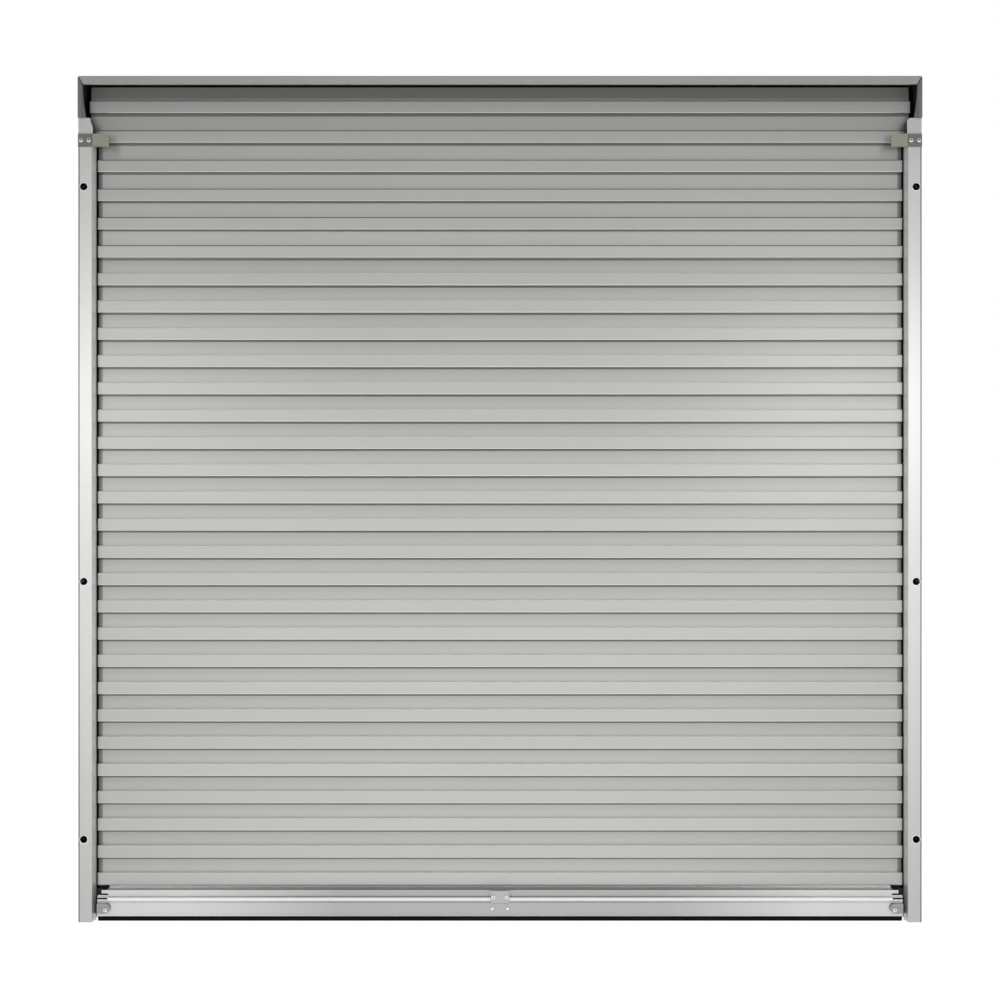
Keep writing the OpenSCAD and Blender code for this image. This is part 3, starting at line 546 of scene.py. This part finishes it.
class SHUTTER_OT_drum(bpy.types.Operator):
    """Finish the drum, its axle, spring and straps, and the black plates and discs"""

    bl_idname = "shutter.drum"
    bl_label = "Drum"

    def execute(self, context):
        look = context.scene.shutter_finish
        # drawn steel: a darker, cooler grey than the aluminium, clouded and plainly lined
        steel = drawn_metal("drawn_steel", look.steel, rough=0.38, along="X", line_mm=2,
                            run_mm=200, depth_mm=0.02, cloud=0.15)
        dress(steel, "axle", "drum_bearings", "drum_tube", "torsion_spring", "hanger_straps")
        # moulded plastic: a fine pebbled grain, drawn at 1.5 mm so that it shows
        grain_mm, grain_depth_mm = 1.5, 0.1
        plastic, tree, shader, coords = start_material("moulded_plastic")
        grain = add(tree, "ShaderNodeTexNoise", {"Scale": 1 / (grain_mm * MM), "Detail": 2},
                    {"Vector": coords["Object"]}).outputs["Fac"]
        bump = add(tree, "ShaderNodeBump", {"Strength": 0.6, "Distance": grain_depth_mm * MM},
                   {"Height": grain})
        gloss = add(tree, "ShaderNodeMapRange", {"To Min": 0.45, "To Max": 0.62},
                    {"Value": grain})
        tree.links.new(gloss.outputs["Result"], shader.inputs["Roughness"])
        tree.links.new(bump.outputs["Normal"], shader.inputs["Normal"])
        shader.inputs["Base Color"].default_value = (*look.plastic, 1)
        shader.inputs["IOR"].default_value = 1.49
        dress(plastic, "side_plate_left", "side_plate_right", "drum_disc_left",
              "drum_disc_right", "spring_anchor", "spring_plug")
        return {"FINISHED"}


class SHUTTER_OT_seals(bpy.types.Operator):
    """Finish the rubber seals"""

    bl_idname = "shutter.seals"
    bl_label = "Seals"

    def execute(self, context):
        look = context.scene.shutter_finish
        # extruded rubber: dull black with a paler bloom of dust in long patches
        patch_l, patch_h, paler = 60 * MM, 6 * MM, 0.012
        rubber, tree, shader, coords = start_material("extruded_rubber")
        mapped = add(tree, "ShaderNodeMapping", {"Scale": (1 / patch_l, 1 / patch_h, 1 / patch_h)},
                     {"Vector": coords["Object"]})
        bloom = add(tree, "ShaderNodeTexNoise", {"Scale": 1, "Detail": 3},
                    {"Vector": mapped.outputs["Vector"]}).outputs["Fac"]
        amount = add(tree, "ShaderNodeMapRange",
                     {"From Min": 0.5, "From Max": 0.8, "To Max": 0.35}, {"Value": bloom})
        pale = [c + paler for c in look.rubber]
        mixed = add(tree, "ShaderNodeMix", {"A": (*look.rubber, 1), "B": (*pale, 1)},
                    {"Factor": amount.outputs["Result"]}, data_type="RGBA")
        gloss = add(tree, "ShaderNodeMapRange", {"To Min": 0.6, "To Max": 0.8}, {"Value": bloom})
        tree.links.new(mixed.outputs["Result"], shader.inputs["Base Color"])
        tree.links.new(gloss.outputs["Result"], shader.inputs["Roughness"])
        shader.inputs["IOR"].default_value = 1.52
        shader.inputs["Specular IOR Level"].default_value = 0.05
        dress(rubber, "bottom_seal", "rail_seals")
        return {"FINISHED"}


def pick_faces(obj, way):
    """In edit mode, select only the faces that look one way along Y."""
    bpy.ops.mesh.select_mode(type="FACE")
    bpy.ops.mesh.select_all(action="DESELECT")
    mesh = bmesh.from_edit_mesh(obj.data)
    for face in mesh.faces:
        face.select_set(way * face.normal.y > SQUARE)
    bmesh.update_edit_mesh(obj.data)


def start_round(radius, depth, sides):
    """A round blank along Y whose back lies at the origin, in edit mode."""
    bpy.ops.object.select_all(action="DESELECT")
    bpy.ops.mesh.primitive_cylinder_add(vertices=sides, radius=radius, depth=depth,
                                        location=(0, -depth / 2, 0), rotation=(pi / 2, 0, 0))
    bpy.ops.object.transform_apply(location=True, rotation=True, scale=True)
    bpy.ops.object.mode_set(mode="EDIT")
    return bpy.context.object


def draw_shank(radius, reach):
    """Draw the selected end of a blank out into a shank with a blunt tip."""
    bpy.ops.mesh.extrude_region_move(TRANSFORM_OT_translate={"value": (0, reach, 0)})
    bpy.ops.mesh.bevel(offset=radius * TIP, segments=2, affect="EDGES")
    bpy.ops.object.mode_set(mode="OBJECT")


def plate(fixing, look):
    """Give a fixing its zinc, and make the painted shade that its recess is cut with."""
    if "zinc_plated" not in bpy.data.materials:
        # bright zinc on turned or pressed steel: clear, slightly streaky reflections
        drawn_metal("zinc_plated", look.fixing, rough=0.24, along="Y", line_mm=1.2, run_mm=6,
                    depth_mm=0.02, cloud=0.12, metallic=0.75)
        # painted shade for recesses: dull, nearly black and uneven
        drawn_metal("recess_grime", look.grime, rough=0.8, along="Y", line_mm=1, run_mm=1,
                    depth_mm=0.02, cloud=0.5, metallic=0)
    fixing.data.materials.append(bpy.data.materials["zinc_plated"])


def cut_cross(obj, size, top_y):
    """Cut the cross recess, which tapers, into a head whose top lies at top_y."""
    taper = 0.6
    for turn in (0, pi / 2):
        bpy.ops.object.select_all(action="DESELECT")
        bpy.ops.mesh.primitive_cube_add(size=1, location=(0, top_y, 0), rotation=(0, turn, 0))
        cutter = bpy.context.object
        cutter.scale = (size.recess_l, 2 * size.recess_d, size.recess_w)
        bpy.ops.object.transform_apply(location=True, rotation=True, scale=True)
        bpy.ops.object.mode_set(mode="EDIT")
        pick_faces(cutter, BACK)
        bpy.ops.transform.resize(value=(taper, 1, taper))
        bpy.ops.object.mode_set(mode="OBJECT")
        # the recess's faces take this painted shade
        cutter.data.materials.append(bpy.data.materials["recess_grime"])
        bpy.ops.object.select_all(action="DESELECT")
        bpy.context.view_layer.objects.active = obj
        obj.select_set(True)
        recess = obj.modifiers.new("recess", "BOOLEAN")
        recess.operation = "DIFFERENCE"
        recess.object = cutter
        recess.material_mode = "TRANSFER"
        bpy.ops.object.modifier_apply(modifier="recess")
        bpy.data.objects.remove(cutter)


def spread(pattern, name, places, body, slot, *nodes, turn=None):
    """Copy a pattern to its places as one piece that rides on a body and stands for nodes."""
    copies = []
    for place in places:
        copy = pattern.copy()
        copy.data = pattern.data.copy()
        if turn:
            copy.data.transform(turn)
        copy.data.transform(Matrix.Translation(place))
        bpy.context.collection.objects.link(copy)
        copies.append(copy)
    bpy.ops.object.select_all(action="DESELECT")
    for copy in copies:
        copy.select_set(True)
    piece = copies[0]
    bpy.context.view_layer.objects.active = piece
    bpy.ops.object.join()
    piece.name = piece.data.name = name
    bpy.ops.object.shade_smooth_by_angle(angle=radians(35))
    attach(piece, body)
    if nodes:
        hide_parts(*nodes)


class SHUTTER_OT_pan_screws(bpy.types.Operator):
    """Model the pan head screws of brackets, stop blocks and centre plate"""

    bl_idname = "shutter.pan_screws"
    bl_label = "Pan head screws"

    # how much of a head's height is rounded
    rounded = 0.62

    def execute(self, context):
        size = context.scene.shutter_fixings
        screw = start_round(size.head_r, size.head_h, sides=32)
        pick_faces(screw, FRONT)
        bpy.ops.mesh.bevel(offset=size.head_h * self.rounded, segments=5, affect="EDGES")
        pick_faces(screw, BACK)
        bpy.ops.mesh.inset(thickness=size.head_r - size.shank_r, depth=0)
        draw_shank(size.shank_r, size.shank_l)
        plate(screw, context.scene.shutter_finish)
        cut_cross(screw, size, -size.head_h)
        places = []
        for side in SIDES:
            low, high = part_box("stop_bracket_" + side)
            outer, inward = (low.x, 1) if side == "left" else (high.x, -1)
            for inset in (size.bracket_out, size.bracket_in):
                places.append((outer + inward * inset, low.y, (low.z + high.z) / 2))
        spread(screw, "bracket_screws", places, "frame", "screw", "frame_screws")
        # the heads of the block screws are let in by half their height
        low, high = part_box("block_screws")
        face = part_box("stop_block_left")[0].y + size.head_h / 2
        places = [(x, face, (low.z + high.z) / 2)
                  for x in (low.x + size.head_r, high.x - size.head_r)]
        spread(screw, "end_block_screws", places, "bottom", "screw", "block_screws")
        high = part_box("centre_fasteners")[1]
        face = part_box("centre_plate")[0].y
        places = [(x, face, high.z - size.head_r) for x in (-size.plate_x, size.plate_x)]
        spread(screw, "centre_screws", places, "bottom", "screw", "centre_fasteners")
        bpy.data.objects.remove(screw)
        return {"FINISHED"}


class SHUTTER_OT_rivets(bpy.types.Operator):
    """Model the domed rivets at the middle of the bottom rail"""

    bl_idname = "shutter.rivets"
    bl_label = "Rivets"

    # how much of a dome's height is rounded
    rounded = 0.95

    def execute(self, context):
        size = context.scene.shutter_fixings
        rivet = start_round(size.rivet_r, size.rivet_h, sides=24)
        pick_faces(rivet, FRONT)
        bpy.ops.mesh.bevel(offset=size.rivet_h * self.rounded, segments=6, affect="EDGES")
        pick_faces(rivet, BACK)
        bpy.ops.mesh.inset(thickness=size.rivet_r - size.rivet_shank_r, depth=0)
        draw_shank(size.rivet_shank_r, size.rivet_l)
        plate(rivet, context.scene.shutter_finish)
        low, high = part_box("centre_fasteners")
        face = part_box("bottom_rail")[0].y + size.rib_proud
        places = [(x, face, low.z + size.rivet_r)
                  for x in (low.x + size.rivet_r, high.x - size.rivet_r)]
        spread(rivet, "centre_rivets", places, "bottom", "screw", "centre_fasteners")
        bpy.data.objects.remove(rivet)
        return {"FINISHED"}


class SHUTTER_OT_flush_screws(bpy.types.Operator):
    """Model the countersunk screws of the back cover"""

    bl_idname = "shutter.flush_screws"
    bl_label = "Flush screws"

    def execute(self, context):
        size = context.scene.shutter_fixings
        screw = start_round(size.flush_r, size.flush_h, sides=32)
        pick_faces(screw, BACK)
        shrink = size.flush_shank_r / size.flush_r
        bpy.ops.transform.resize(value=(shrink, 1, shrink))
        draw_shank(size.flush_shank_r, size.flush_l - size.flush_h)
        plate(screw, context.scene.shutter_finish)
        cut_cross(screw, size, -size.flush_h)
        # three screws along the top at the quarters of the cover, and two in each side plate
        low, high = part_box("frame_screws")
        face = high.y - size.flush_h
        top = high.z - size.flush_r
        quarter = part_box("back_cover")[1].x / 2
        inner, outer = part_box("side_plate_right")
        side_x = (inner.x + outer.x) / 2
        places = [(x, face, top) for x in (-quarter, 0, quarter)]
        places += [(x, face, z) for x in (-side_x, side_x)
                   for z in (low.z + size.flush_r, top - size.cover_drop)]
        spread(screw, "cover_screws", places, "frame", "screw", "frame_screws",
               turn=Matrix.Rotation(pi, 4, "Z"))
        bpy.data.objects.remove(screw)
        return {"FINISHED"}


class SHUTTER_OT_hole_rims(bpy.types.Operator):
    """Model the deburred rims of the rails' access holes"""

    bl_idname = "shutter.hole_rims"
    bl_label = "Hole rims"

    # how much of a rim's height its edges are softened by
    softened = 0.6

    def execute(self, context):
        look = context.scene.shutter_finish
        size = context.scene.shutter_fixings
        rim = start_round(size.hole_r + size.rim_w, size.rim_h, sides=48)
        for way in (FRONT, BACK):
            pick_faces(rim, way)
            bpy.ops.mesh.inset(thickness=size.rim_w, depth=0)
            bpy.ops.mesh.delete(type="FACE")
        bpy.ops.mesh.select_mode(type="EDGE")
        bpy.ops.mesh.select_all(action="DESELECT")
        bpy.ops.mesh.select_non_manifold()
        bpy.ops.mesh.bridge_edge_loops()
        bpy.ops.mesh.select_all(action="SELECT")
        bpy.ops.mesh.normals_make_consistent(inside=False)
        bpy.ops.object.mode_set(mode="OBJECT")
        soften = rim.modifiers.new("soften", "BEVEL")
        soften.width = size.rim_h * self.softened
        soften.segments = 2
        bpy.ops.object.modifier_apply(modifier="soften")
        # freshly cut aluminium: a thin bright ring, lined by the drill
        bright = drawn_metal("cut_aluminium", look.rubbed, rough=0.3, along="Y", line_mm=1,
                             run_mm=4, depth_mm=0.01, metallic=0.6)
        rim.data.materials.append(bright)
        # the holes stand in front of the rails' fixings
        mounts = {mount["name"]: mount for mount in frame["record"]["mounts"]}
        lower, upper = mounts["rail_fixings_lower"], mounts["rail_fixings_upper"]
        middle, apart = lower["pos_m"][2], lower["dims"]["spacing_y_mm"] * MM
        heights = (middle - apart / 2, middle + apart / 2, upper["pos_m"][2])
        out = upper["dims"]["spacing_x_mm"] * MM / 2
        for side, x in zip(SIDES, (-out, out)):
            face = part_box("rail_" + side)[0].y
            places = [(x, face, z) for z in heights]
            spread(rim, "hole_rims_" + side, places, "frame", "bare")
        bpy.data.objects.remove(rim)
        return {"FINISHED"}


def aim(obj, target):
    """Turn a light or camera to look at a point."""
    obj.rotation_euler = (Vector(target) - obj.location).to_track_quat("-Z", "Y").to_euler()


class SHUTTER_OT_stage(bpy.types.Operator):
    """Set the camera, the floor and the light"""

    bl_idname = "shutter.stage"
    bl_label = "Stage"

    # softboxes beside the camera: each one's place across and its width, and their height over the
    # sill, own height, and aim as a share of the place across and a height
    boxes = ((-1.16, 0.36), (1.06, 0.48))
    box_z, box_h, box_aim_x, box_aim_z = 0.9, 0.42, 0.5, 0.75
    # key lights: how far they stand aside, before the rails and over the sill, the height that they
    # are aimed at, their cone and their softness
    key_x, key_y, key_z, key_aim_z = 2.2, 4.9, 3.1, 0.45
    key_cone, key_soft = radians(19.4), 0.45
    noon_spread = radians(20)
    # the studio's light from the horizon up to the zenith: the height of a direction and its level
    sky = ((0, 0.9), (0.08, 0.78), (0.2, 0.15), (0.45, 0.12), (0.7, 0.35))
    # the light falls off to this share between these parts of a direction to the side
    side_share, side_start, side_end = 0.35, 0.6, 0.95

    def set_camera(self, scene, stage, face):
        lens = bpy.data.cameras.new("camera")
        lens.sensor_width = 36
        lens.lens = lens.sensor_width * stage.distance / stage.view_w
        camera = bpy.data.objects.new("camera", lens)
        scene.collection.objects.link(camera)
        camera.location = (0, face - stage.distance, stage.height)
        aim(camera, (0, face, stage.height))
        scene.camera = camera
        scene.view_settings.view_transform = "Standard"

    def lay_floor(self, stage):
        bpy.ops.object.select_all(action="DESELECT")
        bpy.ops.mesh.primitive_plane_add(size=stage.floor_size)
        floor = bpy.context.object
        floor.name = "floor"
        # matt paint, lit from within: pale and even, with the faintest clouds and no shadow
        cloud_mm, darkest = 300, 0.985
        paint, tree, shader, coords = start_material("painted_floor")
        clouds = add(tree, "ShaderNodeTexNoise", {"Scale": 1 / (cloud_mm * MM), "Detail": 3},
                     {"Vector": coords["Object"]})
        dark = [c * darkest for c in stage.floor]
        mixed = add(tree, "ShaderNodeMix", {"A": (*dark, 1), "B": (*stage.floor, 1)},
                    {"Factor": clouds.outputs["Fac"]}, data_type="RGBA")
        tree.links.new(mixed.outputs["Result"], shader.inputs["Base Color"])
        shader.inputs["Roughness"].default_value = 0.8
        shader.inputs["Emission Color"].default_value = (1, 1, 1, 1)
        shader.inputs["Emission Strength"].default_value = stage.glow
        floor.data.materials.append(paint)

    def hang(self, scene, name, light, place=(0, 0, 0), target=None):
        """Hang a light that the camera doesn't see."""
        lamp = bpy.data.objects.new(name, light)
        scene.collection.objects.link(lamp)
        lamp.location = place
        if target:
            aim(lamp, target)
        lamp.visible_camera = False
        return lamp

    def hang_lights(self, scene, stage, face):
        for x, width in self.boxes:
            softbox = bpy.data.lights.new("softbox", "AREA")
            softbox.shape = "RECTANGLE"
            softbox.size, softbox.size_y = width, self.box_h
            softbox.energy = stage.box_power * width
            self.hang(scene, "softbox", softbox, (x, face - stage.distance, self.box_z),
                      (x * self.box_aim_x, face, self.box_aim_z))
        for x in (-self.key_x, self.key_x):
            key = bpy.data.lights.new("key", "SPOT")
            key.energy = stage.key
            key.spot_size = self.key_cone
            key.spot_blend = 1
            key.shadow_soft_size = self.key_soft
            lamp = self.hang(scene, "key", key, (x, face - self.key_y, self.key_z),
                             (0, face, self.key_aim_z))
            lamp.visible_glossy = False
        noon = bpy.data.lights.new("overhead", "SUN")
        noon.energy = stage.overhead
        noon.angle = self.noon_spread
        self.hang(scene, "overhead", noon).visible_glossy = False

    def light_studio(self, scene):
        world = bpy.data.worlds.new("studio")
        scene.world = world
        world.use_nodes = True
        tree = world.node_tree
        tree.nodes.clear()
        direction = add(tree, "ShaderNodeTexCoord").outputs["Generated"]
        split = add(tree, "ShaderNodeSeparateXYZ", links={"Vector": direction}).outputs
        ramp = add(tree, "ShaderNodeValToRGB", links={"Fac": split["Z"]})
        stops = ramp.color_ramp.elements
        stops[0].position, stops[1].position = self.sky[0][0], self.sky[-1][0]
        for height, _ in self.sky[1:-1]:
            stops.new(height)
        for stop, (_, level) in zip(stops, self.sky):
            stop.color = (level, level, level, 1)
        side = add(tree, "ShaderNodeMath", links={0: split["X"]}, operation="ABSOLUTE")
        shade = add(tree, "ShaderNodeMapRange",
                    {"From Min": self.side_start, "From Max": self.side_end,
                     "To Min": 1, "To Max": self.side_share}, {"Value": side.outputs["Value"]})
        glow = add(tree, "ShaderNodeBackground", links={"Color": ramp.outputs["Color"],
                                                        "Strength": shade.outputs["Result"]})
        # what is seen past the floor is white paper
        paper = add(tree, "ShaderNodeBackground", {"Color": (1, 1, 1, 1)})
        seen = add(tree, "ShaderNodeLightPath").outputs["Is Camera Ray"]
        joined = add(tree, "ShaderNodeMixShader", links={
            "Fac": seen, 1: glow.outputs["Background"], 2: paper.outputs["Background"]})
        add(tree, "ShaderNodeOutputWorld", links={"Surface": joined.outputs["Shader"]})

    def execute(self, context):
        scene, stage = context.scene, context.scene.shutter_stage
        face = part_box("rail_left")[0].y
        self.set_camera(scene, stage, face)
        self.lay_floor(stage)
        self.hang_lights(scene, stage, face)
        self.light_studio(scene)
        return {"FINISHED"}


OPERATORS = (SHUTTER_OT_stage, SHUTTER_OT_slats, SHUTTER_OT_rails, SHUTTER_OT_bottom_rail,
             SHUTTER_OT_brackets, SHUTTER_OT_drum, SHUTTER_OT_seals, SHUTTER_OT_pan_screws,
             SHUTTER_OT_rivets, SHUTTER_OT_flush_screws, SHUTTER_OT_hole_rims)
GROUPS = {"shutter_finish": ShutterFinish, "shutter_fixings": ShutterFixings,
          "shutter_stage": ShutterStage}


class SHUTTER_PT_panel(bpy.types.Panel):
    """Every step of the shutter's dressing, and the values that it takes"""

    bl_idname = "SHUTTER_PT_panel"
    bl_label = "Roller shutter"
    bl_space_type = "VIEW_3D"
    bl_region_type = "UI"
    bl_category = "Shutter"

    def draw(self, context):
        for operator in OPERATORS:
            self.layout.operator(operator.bl_idname)
        for name, group in GROUPS.items():
            for key in group.__annotations__:
                self.layout.prop(getattr(context.scene, name), key)


def register():
    """Register the values, the operators and the panel."""
    for name, group in GROUPS.items():
        bpy.utils.register_class(group)
        setattr(bpy.types.Scene, name, PointerProperty(type=group))
    for cls in (*OPERATORS, SHUTTER_PT_panel):
        bpy.utils.register_class(cls)


def unregister():
    """Take back what register made."""
    for cls in (SHUTTER_PT_panel, *reversed(OPERATORS)):
        bpy.utils.unregister_class(cls)
    for name, group in GROUPS.items():
        delattr(bpy.types.Scene, name)
        bpy.utils.unregister_class(group)


def main():
    """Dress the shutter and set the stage."""
    register()
    bpy.ops.shutter.stage()
    bpy.ops.shutter.slats()
    bpy.ops.shutter.rails()
    bpy.ops.shutter.bottom_rail()
    bpy.ops.shutter.brackets()
    bpy.ops.shutter.drum()
    bpy.ops.shutter.seals()
    bpy.ops.shutter.pan_screws()
    bpy.ops.shutter.rivets()
    bpy.ops.shutter.flush_screws()
    bpy.ops.shutter.hole_rims()


if __name__ == "__main__":
    main()
